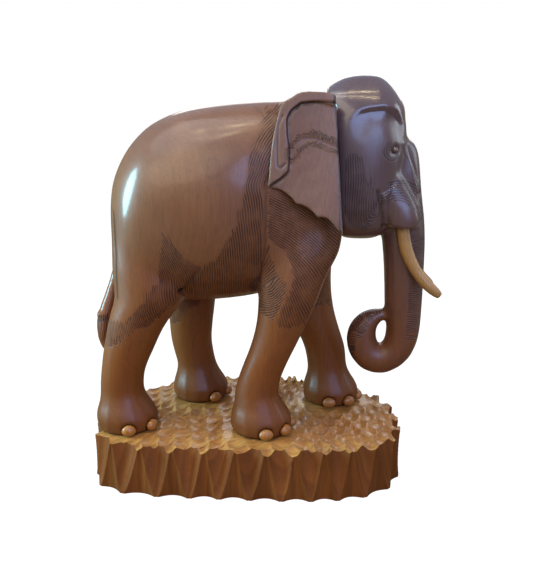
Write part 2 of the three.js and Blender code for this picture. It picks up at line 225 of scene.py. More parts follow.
def stroke_heights(spots, strokes, step=3 * mm, rounds=260):
    """For each spot, a height in metres that is constant along the strokes and grows across them."""
    low = spots.min(axis=0) - 2 * step
    counts = np.ceil((spots.max(axis=0) + 2 * step - low) / step).astype(int) + 1
    gx, gz = np.meshgrid(*(low[k] + step * np.arange(counts[k]) for k in (0, 1)), indexing="ij")
    heading = stroke_headings(gx, gz, strokes, step)
    slope_x, slope_z = -heading[:-1, :, 1] * step, heading[:, :-1, 0] * step

    def gathered(across, up):
        total = np.zeros(gx.shape)
        total[1:] += across
        total[:-1] -= across
        total[:, 1:] += up
        total[:, :-1] -= up
        return total

    height = np.zeros(gx.shape)
    left = gathered(slope_x, slope_z)
    way = left.copy()
    size = (left**2).sum()
    for _ in range(rounds):
        turned = gathered(np.diff(way, axis=0), np.diff(way, axis=1))
        share = size / ((way * turned).sum() + tiny)
        height += share * way
        left -= share * turned
        new_size = (left**2).sum()
        way = left + new_size / (size + tiny) * way
        size = new_size
    at = (spots - low) / step
    i, j = at.astype(int).T
    fx, fz = (at - at.astype(int)).T
    lower = height[i, j] * (1 - fx) + height[i + 1, j] * fx
    upper = height[i, j + 1] * (1 - fx) + height[i + 1, j + 1] * fx
    return lower * (1 - fz) + upper * fz


def ruled_region(spots, outline, strokes):
    """The stroke height and the reach inside the outline at each spot, worked out only near the region."""
    reach = reach_inside(spots, outline)
    margin = 8 * mm
    near = reach > -margin
    height = np.zeros(len(spots))
    if near.any():
        height[near] = stroke_heights(spots[near], strokes)
    return height, reach


def keep_strokes(piece, name, height, reach):
    """Stores rows of strokes on the mesh: the height, and how far inside the region each point is."""
    values = np.zeros((len(height), 3), np.float32)
    values[:, 0] = height
    values[:, 1] = reach
    layer = piece.data.attributes.new(name, "FLOAT_VECTOR", "POINT")
    layer.data.foreach_set("vector", values.ravel())


def keep_amount(piece, name, amount):
    layer = piece.data.attributes.new(name, "FLOAT", "POINT")
    layer.data.foreach_set("value", amount.astype(np.float32))


# %% [markdown]
# ## Node groups for the finishes
# Three effects are used by more than one finish, so each one is a node group with named inputs and
# outputs: the figure of the wood, the rows of tool strokes, and the small unevenness of old polish.

# %% A small helper for wiring nodes
class Board:
    """A node tree with short ways to add nodes and wires."""

    def __init__(self, tree):
        self.tree = tree

    def add(self, kind, inputs=None, **settings):
        made = self.tree.nodes.new(kind)
        for name, value in settings.items():
            setattr(made, name, value)
        for name, value in (inputs or {}).items():
            self.wire(value, made.inputs[name])
        return made

    def wire(self, value, socket):
        if isinstance(value, bpy.types.NodeSocket):
            self.tree.links.new(value, socket)
        else:
            socket.default_value = value

    def math(self, operation, a, b=0.0):
        return self.add("ShaderNodeMath", {0: a, 1: b}, operation=operation).outputs[0]

    def times(self, a, b):
        return self.math("MULTIPLY", a, b)

    def place(self):
        return self.add("ShaderNodeTexCoord").outputs["Object"]

    def split(self, vector):
        return self.add("ShaderNodeSeparateXYZ", {0: vector}).outputs

    def kept(self, attribute, output="Vector"):
        return self.add("ShaderNodeAttribute", attribute_name=attribute).outputs[output]

    def along_grain(self, vector, share):
        """The vector with its upright part made smaller, so that noise on it is drawn out along the grain."""
        made = self.add("ShaderNodeVectorMath", {0: vector, 1: (1, 1, share)}, operation="MULTIPLY")
        return made.outputs[0]

    def spread(self, value, low, high, to_low=0.0, to_high=1.0, smooth=True):
        kind = "SMOOTHSTEP" if smooth else "LINEAR"
        made = self.add("ShaderNodeMapRange", {0: value, 1: low, 2: high, 3: to_low, 4: to_high},
                        interpolation_type=kind)
        return made.outputs[0]

    def mixed(self, factor, a, b, blend="MIX"):
        made = self.add("ShaderNodeMix", data_type="RGBA", blend_type=blend)
        self.wire(factor, made.inputs[0])
        self.wire(a, made.inputs[6])
        self.wire(b, made.inputs[7])
        return made.outputs[2]

    def noise(self, vector, scale, detail=3.0, roughness=0.5, distortion=0.0):
        made = self.add("ShaderNodeTexNoise", {"Vector": vector, "Scale": scale, "Detail": detail,
                                              "Roughness": roughness, "Distortion": distortion})
        return made.outputs["Fac"]


def new_group(name, inputs, outputs):
    """A shader node group with the given sockets, as a board with its input and output nodes."""
    tree = bpy.data.node_groups.new(name, "ShaderNodeTree")
    for socket, (kind, value) in inputs.items():
        made = tree.interface.new_socket(name=socket, in_out="INPUT", socket_type="NodeSocket" + kind)
        if value is not None:
            made.default_value = value
    for socket, kind in outputs.items():
        tree.interface.new_socket(name=socket, in_out="OUTPUT", socket_type="NodeSocket" + kind)
    board = Board(tree)
    return board, board.add("NodeGroupInput").outputs, board.add("NodeGroupOutput").inputs


# %% [markdown]
# ### The figure of the wood
# A log's rings are long cones round its pith. Cut along the log, they show as streaks that run with the
# grain, and cut across it as arcs. We take the distance from an upright pith, bend it with noise that is
# drawn out along the grain, and read rings from it. Fibres and pores are a much finer drawn-out noise.

# %% The wood figure group
def make_wood_figure():
    board, given, out = new_group(
        "wood_figure",
        {"Ring Width": ("Float", 9 * mm), "Pith": ("Vector", (0.05, 0.02, 0.0))},
        {"Rings": "Float", "Fibres": "Float", "Clouds": "Float"},
    )
    place = board.place()
    moved = board.add("ShaderNodeVectorMath", {0: place, 1: given["Pith"]}, operation="SUBTRACT").outputs[0]
    apart = board.split(moved)
    squares = board.math("ADD", board.times(apart[0], apart[0]), board.times(apart[1], apart[1]))
    bend = board.times(board.noise(board.along_grain(moved, 0.14), 9.0, 2.0), 0.09)
    ring = board.math("DIVIDE", board.math("ADD", board.math("SQRT", squares), bend), given["Ring Width"])
    saw = board.math("FRACT", ring)
    early = board.spread(saw, 0.0, 0.82)
    late = board.spread(saw, 0.86, 1.0, 1.0, 0.0)
    board.wire(board.times(early, late), out["Rings"])
    board.wire(board.noise(board.along_grain(place, 0.03), 620.0, 3.0, 0.65), out["Fibres"])
    board.wire(board.noise(board.along_grain(place, 0.35), 11.0, 3.0, 0.55, 0.4), out["Clouds"])
    return board.tree


wood_figure = make_wood_figure()

# %% [markdown]
# ### The tool strokes
# Each row of strokes was stored on the mesh as a height across the cuts and a reach inside its region.
# The group turns them into V cuts: it wobbles the height a little, folds it into a row of valleys, ends
# each cut at its own place near the border, and lets the tool lift off here and there.

# %% The tool stroke group
def make_tool_strokes():
    board, given, out = new_group(
        "tool_strokes",
        {"Strokes": ("Vector", None), "Pitch": ("Float", 3.6 * mm), "Feather": ("Float", 6 * mm)},
        {"Cut": "Float", "Region": "Float"},
    )
    place = board.place()
    kept = board.split(given["Strokes"])
    sway = board.math("SUBTRACT", board.noise(place, 70.0, 2.0), 0.5)
    turns = board.math("DIVIDE", board.math("ADD", kept[0], board.times(sway, 3 * mm)), given["Pitch"])
    number = board.math("FLOOR", turns)
    chance = board.add("ShaderNodeTexWhiteNoise", {"W": number}, noise_dimensions="1D").outputs["Value"]
    valley = board.math("ABSOLUTE", board.math("SUBTRACT", board.math("FRACT", turns), 0.5))
    cut = board.spread(valley, 0.06, 0.42, 1.0, 0.0)
    end = board.math("SUBTRACT", kept[1], board.times(chance, given["Feather"]))
    region = board.spread(end, 0.0, 2 * mm)
    depth = board.spread(board.noise(place, 45.0, 2.0), 0.3, 0.62, 0.45, 1.0)
    board.wire(board.times(board.times(cut, region), depth), out["Cut"])
    board.wire(board.spread(kept[1], -1 * mm, 5 * mm), out["Region"])
    return board.tree


tool_strokes = make_tool_strokes()

# %% [markdown]
# ### Old polish
# French polish or wax on carved wood is never even: it is a little thicker in places, dulled by dust and
# hands, and it has small dents. The group gives a slow change of gloss and a faint ripple.

# %% The polish group
def make_old_polish():
    board, _, out = new_group("old_polish", {}, {"Dull": "Float", "Ripple": "Float"})
    place = board.place()
    board.wire(board.spread(board.noise(place, 14.0, 5.0, 0.62), 0.35, 0.72), out["Dull"])
    board.wire(board.noise(place, 55.0, 2.0), out["Ripple"])
    return board.tree


old_polish = make_old_polish()

# %% [markdown]
# ## The finishes
# All the wood is one kind, sealed with a warm stain and a gloss coat. Each finish keeps its own shader,
# with the coat's amount and roughness set on the shader itself, and takes its colour, roughness and
# bumps from the groups.

# %% A varnished wood finish
def group_node(board, tree, **inputs):
    made = board.add("ShaderNodeGroup", node_tree=tree)
    for name, value in inputs.items():
        board.wire(value, made.inputs[name.replace("_", " ")])
    return made.outputs


def colour(red, green, blue):
    """A colour given as it looks on a screen, from 0 to 255, as the linear values that a shader takes."""
    linear = [((c / 255 + 0.055) / 1.055) ** 2.4 if c > 10 else c / 255 / 12.92 for c in (red, green, blue)]
    return (*linear, 1.0)


bump_distance = 0.8 * mm
fibre_height = -0.12
ripple_height = 0.35
chatter_height = 0.5
streak_share = 0.28
# How dark the valleys of the tool strokes are painted, as their shade.
painted_valley_shade = 0.88
dulling = 0.16
ruled_dulling = 0.1


def with_rows(board, rows, dark, shaded, worn, base, height, rough, coated):
    """The colour, bump height, roughness and coat of a finish, with its rows of strokes cut in."""
    for attribute, pitch, feather in rows:
        strokes = group_node(board, tool_strokes, Strokes=board.kept(attribute), Pitch=pitch, Feather=feather)
        height = board.math("SUBTRACT", height, strokes["Cut"])
        # Painted shade: shaded darkens the whole ruled region, for the shade and the stain held in its many
        # small cuts, and each cut's valley is painted dark as its shade.
        base = board.mixed(board.times(strokes["Region"], shaded), base, dark)
        base = board.mixed(board.times(strokes["Cut"], painted_valley_shade), base, dark)
        rough = board.math("ADD", rough, board.times(strokes["Region"], ruled_dulling))
        coated = board.times(coated, board.math("SUBTRACT", 1.0, board.times(strokes["Region"], worn)))
    return base, height, rough, coated


def with_chatter(board, dark, base, height):
    """The colour and bump height of the scoops, with the fine arcs that the gouge leaves as it judders."""
    marks = board.split(board.kept("chatter"))
    turns = board.math("ADD", board.times(marks[0], 22.0), marks[1])
    wave = board.noise(board.add("ShaderNodeCombineXYZ", {0: turns, 1: marks[1]}).outputs[0], 1.0, 2.0)
    height = board.math("ADD", height, board.times(wave, chatter_height))
    # The low parts of the arcs are painted darker, as painted shade in their fine valleys.
    return board.mixed(board.spread(wave, 0.3, 0.5, 0.3, 0.0), base, dark), height


def varnished_wood(name, pale, warm, dark, gloss, coat, ring=9 * mm, pith=(0.05, 0.02, 0.0), rows=(),
                   legs=None, painted_shade_and_marks=False, rings=0.3, chatter=False, coat_rough=0.14, shaded=0.1,
                   worn=0.75, shine=0.5):
    """A wood finish in three screen colours. `rows` are (attribute, pitch, feather) of the rows of strokes
    cut into it, and `legs` is the colour that it fades to towards the ground."""
    pale, warm, dark = colour(*pale), colour(*warm), colour(*dark)
    material = bpy.data.materials.new(name)
    material.use_nodes = True
    tree = material.node_tree
    tree.nodes.clear()
    board = Board(tree)
    figure = group_node(board, wood_figure, Ring_Width=ring, Pith=pith)
    polish = group_node(board, old_polish)
    base = board.mixed(board.spread(figure["Clouds"], 0.3, 0.7), pale, warm)
    rough = board.spread(polish["Dull"], 0.0, 1.0, gloss, gloss + dulling, smooth=False)
    coated = coat
    if legs:
        up = board.split(board.place())[2]
        # Painted light: towards the ground the colour turns to the warmer, more orange one given as legs, for
        # the warm light that reaches the lower parts.
        base = board.mixed(board.spread(up, 0.20, 0.50, 1.0, 0.0), base, colour(*legs))
        rough = board.times(rough, board.spread(up, 0.565, 0.6, 1.0, 0.22))
        coated = board.times(board.spread(up, 0.14, 0.42, 0.1, 1.0), coat)
    base = board.mixed(board.times(figure["Rings"], rings), base, dark)
    base = board.mixed(board.times(board.spread(figure["Fibres"], 0.42, 0.72), streak_share), base, dark)
    height = board.times(figure["Fibres"], fibre_height)
    height = board.math("ADD", height, board.times(polish["Ripple"], ripple_height))
    base, height, rough, coated = with_rows(board, rows, dark, shaded, worn, base, height, rough, coated)
    if chatter:
        base, height = with_chatter(board, dark, base, height)
    # Painted shade: a stored amount per point darkens the colour in folds, grooves, hollows, round the inlays
    # and at the feet. The same amount also holds real marks, the knots and a crack.
    if painted_shade_and_marks:
        base = board.mixed(board.kept("painted_shade_and_marks", "Fac"), base, tuple(0.35 * c for c in dark[:3]) + (1,))
    bump = board.add("ShaderNodeBump", {"Strength": 1.0, "Distance": bump_distance, "Height": height})
    shader = board.add("ShaderNodeBsdfPrincipled", {
        "Base Color": base, "Roughness": rough, "Normal": bump.outputs[0], "Coat Weight": coated})
    shader.inputs["Specular IOR Level"].default_value = shine
    shader.inputs["Coat Roughness"].default_value = coat_rough
    shader.inputs["Coat IOR"].default_value = 1.5
    surface = board.add("ShaderNodeOutputMaterial")
    tree.links.new(shader.outputs[0], surface.inputs[0])
    return material


stroke_pitch = 3.6 * mm
plinth_pith = (0.1, -0.35, 0.0)
body_rows = [("flank", stroke_pitch, 7 * mm), ("thigh", 3.1 * mm, 5 * mm),
             ("shoulder", stroke_pitch, 5 * mm), ("elbow", stroke_pitch, 4 * mm)]
head_rows = [("cheek", stroke_pitch, 9 * mm), ("sheath", 3.4 * mm, 4 * mm), ("trunk", 3.2 * mm, 5 * mm),
             ("eyelid", 3.2 * mm, 2 * mm)]
body_wood = varnished_wood("body_wood", (138, 92, 58), (120, 76, 48), (54, 24, 14), 0.4, 0.6, rings=0.07,
                           rows=body_rows, legs=(132, 72, 26), painted_shade_and_marks=True, coat_rough=0.16, shaded=0.05,
                           shine=0.35)
# Painted reflection: the head is the same wood as the body, but its colours are cooler and darker, for the
# blue light that its polish reflects.
head_wood = varnished_wood("head_wood", (98, 75, 72), (86, 63, 62), (48, 28, 26), 0.36, 0.9, rings=0.06,
                           rows=head_rows, legs=(116, 66, 34), painted_shade_and_marks=True, coat_rough=0.25, shaded=0.0,
                           worn=0.2)
ear_wood = varnished_wood("ear_wood", (132, 92, 70), (114, 76, 56), (48, 24, 16), 0.4, 0.4, ring=5 * mm,
                          rings=0.1, rows=[("lashes", 2.9 * mm, 5 * mm)], painted_shade_and_marks=True)
plinth_side_wood = varnished_wood("plinth_side_wood", (136, 78, 32), (114, 62, 20), (70, 34, 10), 0.55, 0.0,
                                  ring=12 * mm, pith=plinth_pith, painted_shade_and_marks=True, shine=0.15)
# Painted light: the top is the same wood as the wall, but its colours are much lighter, for the light that
# the top catches from above and behind.
plinth_top_wood = varnished_wood("plinth_top_wood", (204, 146, 76), (178, 120, 58), (96, 54, 24), 0.36, 0.4,
                                 ring=12 * mm, pith=plinth_pith, chatter=True, shine=0.3)
nail_wood = varnished_wood("nail_wood", (186, 122, 52), (164, 100, 38), (104, 58, 20), 0.36, 0.3,
                           ring=3 * mm)
tusk_wood = varnished_wood("tusk_wood", (190, 144, 80), (166, 120, 62), (108, 68, 32), 0.4, 0.3, ring=3 * mm)
eye_wood = varnished_wood("eye_wood", (112, 80, 70), (90, 62, 52), (36, 20, 14), 0.2, 0.9, ring=2 * mm)
dowel_wood = varnished_wood("dowel_wood", (206, 164, 110), (188, 142, 90), (128, 88, 50), 0.7, 0.0,
                            ring=2 * mm)
print("finishes:", [m.name for m in bpy.data.materials if m.name.endswith("_wood")])

# %% [markdown]
# ## Finishing a piece
# Every piece rides on the frame's one body, takes the place of its node, and gets its finish. Its
# object stays at the origin, with its place in its mesh.

# %% Finishing a piece
def as_piece(name, bm, material, slot, *nodes):
    piece = as_object(name, bm)
    piece.data.materials.append(material)
    piece.data.shade_smooth()
    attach(piece, "root")
    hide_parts(*nodes)
    print(name, "has", len(piece.data.polygons), "faces")
    return piece


# %% [markdown]
# ## The body, the legs and the tail
# On the real carving these are one block, most of it sanded smooth. The smooth flank runs down to a
# rounded point, and rows of strokes fill the places between it, the thigh, the shoulder and the ear. We
# sand the copy first, then cut the folds that have real depth: the shoulder's edge, the pit where the
# thigh meets the belly, and the seats of the toenails.

# %% Where the legs on the left stand compared with those on the right
def side_spots(points, heights, shifts):
    """The side view of the points. On the left side it moves with the legs, which stand further forward."""
    spots = points[:, [0, 2]].copy()
    left = points[:, 1] > 0
    spots[left, 0] -= np.interp(points[left, 2], heights, shifts) * mm
    return spots


hind_heights, hind_shifts = [0.23, 0.28, 0.33, 0.41, 0.45, 0.50], [75, 45, 34, 25, 10, 0]
fore_heights, fore_shifts = [0.25, 0.28, 0.31, 0.34, 0.38, 0.46], [50, 31, 20, 13, 1, 0]

# %% The regions and strokes on the flank
flank_region = [
    (23, 604), (21, 581), (2, 546), (0, 499), (-6, 476), (-15, 437), (-28, 407), (-48, 378), (-70, 364),
    (-88, 346), (-94, 322), (-96, 270), (20, 270), (22, 330), (27, 372), (30, 404), (31, 478), (45, 500),
    (60, 620),
]
flank_strokes = [
    [(37, 578), (23, 565), (16, 552)], [(37, 562), (23, 546), (14, 528)], [(33, 541), (22, 526), (13, 507)],
    [(28, 518), (21, 505), (11, 488)], [(10, 554), (5, 528), (4, 506)], [(18, 484), (23, 464), (24, 439)],
    [(3, 481), (14, 446), (20, 405), (18, 378)], [(-12, 448), (-6, 414), (0, 379), (-2, 329)],
    [(-26, 415), (-22, 388), (-20, 350), (-25, 310)], [(-64, 358), (-70, 306)],
]
thigh_region = [
    (-126, 422), (-107, 399), (-94, 378), (-66, 361), (-78, 345), (-84, 322), (-90, 305), (-107, 302),
    (-117, 295), (-132, 280), (-154, 263), (-173, 256), (-189, 245), (-204, 232), (-227, 222), (-280, 205),
    (-280, 262), (-206, 272), (-195, 271), (-179, 290), (-162, 304), (-157, 321), (-143, 335), (-139, 366),
    (-134, 386),
]
thigh_strokes = [
    [(-122, 414), (-108, 394), (-94, 370), (-84, 347), (-86, 328), (-94, 311)],
    [(-126, 408), (-115, 382), (-103, 359), (-97, 343), (-99, 328)],
    [(-132, 392), (-120, 366), (-109, 343), (-102, 330)],
    [(-137, 356), (-128, 337), (-118, 318), (-113, 307)], [(-130, 331), (-132, 315), (-127, 300)],
    [(-140, 338), (-143, 319), (-138, 300), (-132, 284)],
    [(-154, 320), (-156, 300), (-151, 283), (-144, 271)],
    [(-167, 300), (-168, 284), (-164, 270), (-158, 264)], [(-184, 283), (-187, 266), (-186, 253)],
    [(-204, 273), (-204, 255), (-204, 237)], [(-250, 262), (-250, 235), (-246, 205)],
]
shoulder_region = [
    (31, 480), (31, 404), (56, 380), (67, 366), (69, 334), (60, 311), (46, 278), (49, 262), (68, 263),
    (85, 265), (101, 250), (118, 262), (140, 300), (165, 400), (165, 440), (60, 500),
]
shoulder_strokes = [
    [(32, 467), (74, 449), (110, 430), (144, 404)], [(31, 449), (66, 432), (104, 411), (139, 386)],
    [(30, 427), (66, 411), (99, 392), (121, 372)],
    [(30, 409), (59, 392), (87, 376), (108, 354), (130, 309)],
    [(38, 397), (59, 380), (78, 361), (95, 340), (112, 319)],
    [(67, 365), (78, 347), (90, 326), (103, 307), (110, 272)], [(69, 344), (75, 325), (84, 305), (97, 285)],
    [(71, 306), (74, 288), (82, 268)], [(60, 290), (61, 277), (65, 266)], [(49, 278), (49, 263)],
]
elbow_region = [
    (30, 404), (25, 372), (10, 345), (-4, 325), (0, 300), (20, 283), (43, 272), (60, 311), (66, 334),
    (52, 350), (42, 372), (36, 396),
]
elbow_strokes = [
    [(23, 396), (20, 372), (18, 346)], [(39, 360), (32, 347), (21, 335)],
    [(22, 310), (34, 308), (44, 322), (47, 341)], [(39, 300), (49, 310), (55, 326)],
    [(43, 284), (54, 301), (58, 317)],
]
shoulder_edge = [
    (45, 520), (31, 490), (30, 404), (26, 372), (18, 335),
]
tail_groove = [(-214, 440), (-212, 411), (-210, 375), (-209, 335), (-209, 305)]
tail_knob = np.array([-0.2575, 0.262])
knot_middle = np.array([-0.048, 0.512])
knot_shape = np.array([0.8, 1.15])
knot_size = 13 * mm
old_crack = [(9, 602), (22, 590), (28, 582)]
belly_fold = [(-80, 350), (-97, 328), (-107, 316), (-104, 300)]
pit = np.array([-0.107, 0.316])

# %% Sand the body and cut its folds
def nail_nodes():
    return sorted(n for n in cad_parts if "toenail" in n)


def nail_gap(points, node):
    """How far each point is outside a toenail, taken as an oval as big as its node."""
    low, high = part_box(node)
    middle = np.array((low + high) / 2)
    half = np.array([10.5, 10.5, 9.5]) * mm
    return (np.linalg.norm((points - middle) / half, axis=1) - 1) * 10 * mm


body_voxel = 3.1 * mm
sanding_allowance = 0.5 * mm
tail_start, tail_end = -0.2, -0.235


def relax_body(bm):
    """Evens out the facets: the legs a little, the torso a lot, the feet and the tail hardly at all."""
    x, y, z = points_of(bm).T
    tail = blend_in(x, tail_start, tail_end) * (1 - blend_in(np.abs(y), 0.03, 0.05))
    legs = 0.1 + 0.9 * blend_in(z, 0.11, 0.19)
    torso = blend_in(z, 0.31, 0.38) * (1 - blend_in(x, 0.09, 0.12)) * (1 - tail)
    relax(bm, 40, 0.5 * legs * (1 - 0.9 * tail))
    relax(bm, 150, 0.5 * torso)


def body_cuts(points, fore, hind):
    """How far each point moves out, and how much it is darkened: painted shade in the folds, and the body's
    own knot and crack.
    """
    _, y, z = points.T
    side_view = points[:, [0, 2]]
    outer = blend_in(np.abs(y), 0.045, 0.07)
    right_side = y < 0.01
    depth = np.full(len(points), sanding_allowance)
    painted_shade_and_marks = np.zeros(len(points))
    edge, _, side = along_line(fore, shoulder_edge)
    # Each cut below gets painted shade along it: the shoulder's edge, the belly's fold, the pit and the
    # tail's groove. The crack's dark line is a real mark of the wood.
    cut_in([
        (edge, outer, 2.0, 4.5, 0.55, 3.0),
        (edge, (side < 0) * outer, 1.3, 22.0, 0.0, 1.0),
        (along_line(hind, belly_fold)[0], outer, 1.6, 5.0, 0.5, 3.5),
        (np.linalg.norm(hind - pit, axis=1), outer, 5.5, 8.0, 0.9, 6.0),
        (along_line(side_view, tail_groove)[0], y < -0.05, 1.6, 5.0, 0.95, 3.6),
        (along_line(side_view, old_crack)[0], right_side, 0.0, 1.0, 0.35, 2.4),
    ], depth, painted_shade_and_marks)

    from_knob = np.linalg.norm(side_view - tail_knob, axis=1)
    depth += 3.0 * mm * groove(from_knob, 9 * mm) * right_side
    # Painted shade in a ring under the tail's knob.
    painted_shade_and_marks += 0.7 * groove(np.abs(from_knob - 10.5 * mm), 3.5 * mm) * (z < 0.264) * right_side
    from_knot = np.linalg.norm((side_view - knot_middle) / knot_shape, axis=1)
    knot = 0.16 * groove(np.abs(from_knot - knot_size), 3 * mm) + 0.07 * (from_knot < knot_size)
    painted_shade_and_marks += knot * right_side * outer
    return depth, painted_shade_and_marks


def carve_body():
    bm = sanded(copy_of("body_and_legs"), body_voxel, 5)
    relax_body(bm)
    points = points_of(bm)
    hind = side_spots(points, hind_heights, hind_shifts)
    fore = side_spots(points, fore_heights, fore_shifts)
    depth, painted_shade_and_marks = body_cuts(points, fore, hind)
    # Each toenail sits in a cut groove, and the groove gets painted shade, a dark outline round the nail.
    seats = [np.abs(nail_gap(points, node) - 0.8 * mm) for node in nail_nodes()]
    cut_in([(seat, 1.0, 1.2, 2.6, 0.9, 2.6) for seat in seats], depth, painted_shade_and_marks)
    # Painted shadow along the line where the feet stand on the plinth, and painted shade that darkens the
    # legs towards the ground over their lowest 13 cm.
    ground = points[:, 2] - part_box("plinth")[1].z
    painted_shade_and_marks += 0.8 * groove(np.abs(ground), 5 * mm) + 0.24 * (1 - blend_in(ground, 0.02, 0.13))
    push(bm, depth)
    flank = points_of(bm)[:, [0, 2]]
    sideways = (np.abs(normals_of(bm)[:, 1]) - 0.3) * 24 * mm

    body = as_piece("body_and_legs_carved", bm, body_wood, "carving_wood", "body_and_legs")
    for name, spots, region, strokes in (
        ("flank", flank, flank_region, flank_strokes), ("thigh", hind, thigh_region, thigh_strokes),
        ("shoulder", fore, shoulder_region, shoulder_strokes), ("elbow", fore, elbow_region, elbow_strokes),
    ):
        height, reach = ruled_region(spots, region, strokes)
        keep_strokes(body, name, height, np.minimum(reach, sideways))
    keep_amount(body, "painted_shade_and_marks", np.clip(painted_shade_and_marks, 0, 1))


carve_body()

# %% [markdown]
# ## The head and the trunk
# The head is a high polished dome. Below the brow the face narrows to a ridge beside the trunk's root,
# a thick collar wraps each tusk, and the cheek behind it is ruled with strokes. Short knife cuts cross
# the front of the trunk and go on round the outside of its curl.

# %% The lines on the head
cheek_region = [
    (142, 526), (156, 535), (174, 532), (187, 515), (191, 493), (202, 477), (206, 454), (206, 426),
    (185, 408), (159, 420), (144, 437),
]
cheek_strokes = [
    [(149, 521), (148, 478), (151, 435)], [(161, 527), (163, 485), (164, 428)],
    [(173, 527), (180, 497), (178, 460), (180, 425)], [(196, 488), (194, 460), (198, 435)],
    [(181, 420), (190, 418), (201, 434), (206, 454)],
]
sheath_region = [
    (201, 455), (203, 471), (218, 489), (243, 494), (266, 480), (281, 450), (283, 425), (272, 420),
    (258, 442), (240, 456), (222, 456), (211, 449),
]
sheath_strokes = [
    [(203, 466), (218, 481), (241, 484), (263, 469), (275, 443)],
    [(208, 457), (224, 468), (242, 469), (259, 456), (273, 431)],
]
face_ridge = [(241, 548), (249, 529), (256, 509), (262, 490), (269, 474)]
root_groove = [(246, 543), (254, 521), (260, 506), (266, 486), (273, 468)]
sheath_edge = [
    (201, 474), (206, 454), (209, 437), (212, 418),
]
sheath_outline = [
    (207, 470), (206, 445), (208, 421), (246, 417), (262, 418), (275, 440), (262, 474), (240, 486),
    (218, 480),
]
brow = [(158, 586), (170, 596), (185, 600), (207, 602), (226, 595), (239, 580)]
eye_spot = np.array([0.2255, 0.5375])
tusk_root = np.array([0.246, 0.405])
trunk_path = [
    (233, 557), (233, 530), (235, 505), (239, 465), (246, 425), (251, 390), (254, 330), (255, 275),
    (256, 235), (248, 203), (224, 183), (201, 188), (188, 210), (188, 232), (198, 250), (214, 260),
    (225, 262),
]

# %% Sand the head and cut its features
head_voxel = 2.0 * mm


def seam_at(height):
    """Where the head meets the neck and the ears, going forward from the top to the throat."""
    return np.interp(height, [0.420, 0.459, 0.510, 0.568, 0.616], [0.142, 0.141, 0.138, 0.135, 0.129])


def shape_dome(bm):
    """Relaxes the facets and moves the back of the dome out over the neck."""
    x, _, z = points_of(bm).T
    rows_kept = 0.25 + 0.75 * blend_in(np.abs(z - 0.44), 0.03, 0.09)
    relax(bm, 90, 0.5 * blend_in(x, 0.125, 0.15) * rows_kept)
    back = blend_in(x, 0.2, 0.12) * blend_in(z, 0.6, 0.625)
    for vertex, share in zip(bm.verts, back):
        vertex.co.x -= 12 * mm * share * max(0.0, 1 - ((vertex.co.z - 0.612) / 0.062) ** 2)


def eye_distances(spots):
    """How far each spot is from the eye, with the eye taken as a slanting oval, and how far forward of it."""
    from_eye = spots - eye_spot
    along = from_eye @ np.array([0.85, 0.53])
    across = from_eye @ np.array([-0.53, 0.85])
    return np.hypot(along / 1.35, across), along


def brow_socket(spots, outer):
    """The hollow under the brow, 1 where it is deepest, and the shade painted in it."""
    distance, _, above = along_line(spots, brow)
    below = distance * -above
    x = spots[:, 0]
    socket = blend_in(below, -3 * mm, 6 * mm) * (1 - blend_in(below, 8 * mm, 44 * mm)) * outer
    socket *= blend_in(x, 0.15, 0.185) * (1 - blend_in(x, 0.232, 0.246))
    return socket, 0.22 * groove(np.abs(below - 4 * mm), 12 * mm) * socket


def head_cuts(points):
    """How far each point of the head moves out, and how much it is darkened, mostly as painted shade."""
    x, y, z = points.T
    spots = points[:, [0, 2]]
    outer = blend_in(np.abs(y), 0.02, 0.04)
    beside_ridge = blend_in(np.abs(y), 0.006, 0.016)
    round_eye = eye_distances(spots)[0]
    tusk_gap = np.linalg.norm(spots - tusk_root, axis=1)
    depth = 0.45 * mm + 3.0 * mm * blend_in(x, 0.18, 0.22) * blend_in(z, 0.58, 0.605)
    painted_shade_and_marks = np.zeros(len(points))
    # The darkening of these cuts is painted shade: in the groove beside the trunk's root, under the tusk's
    # collar, in a ring round the eye and round the tusk's root. Along the seam it is a dark joint line with
    # painted shade over it.
    cut_in([
        (along_line(spots, face_ridge)[0], beside_ridge, -1.8, 7.0, 0.0, 1.0),
        (along_line(spots, root_groove)[0], beside_ridge, 2.0, 5.0, 0.35, 5.0),
        (along_line(spots, sheath_edge)[0], outer, 3.0, 5.0, 0.7, 4.0),
        (round_eye, outer, 1.8, 12.0, 0.0, 1.0),
        (np.abs(round_eye - 6.5 * mm), outer, 0.0, 1.0, 0.4, 3.0),
        (np.abs(x - seam_at(z)), z < 0.6, 0.0, 1.0, 0.6, 3.0),
        (tusk_gap, z < 0.416, 0.0, 1.0, 0.5, 16.0),
    ], depth, painted_shade_and_marks)
    socket, shade = brow_socket(spots, outer)
    reach = reach_inside(spots, sheath_outline)
    filling = blend_in(reach, -0.5 * mm, 3.5 * mm) * (1 - blend_in(x, 0.214, 0.245)) * outer
    return depth + 4.5 * mm * (filling - socket), painted_shade_and_marks + shade


def trunk_strokes(spots):
    """Strokes that cross the trunk's front and go on round the outside of its curl."""
    distance, travel, side = along_line(spots, trunk_path)
    x, z = spots.T
    reach = distance * side - np.where(x < 0.205, -3 * mm, 1 * mm)
    under_curl = np.minimum(0.222 - z, x - 0.178)
    return travel, np.minimum.reduce([reach, 0.405 - z, -under_curl])


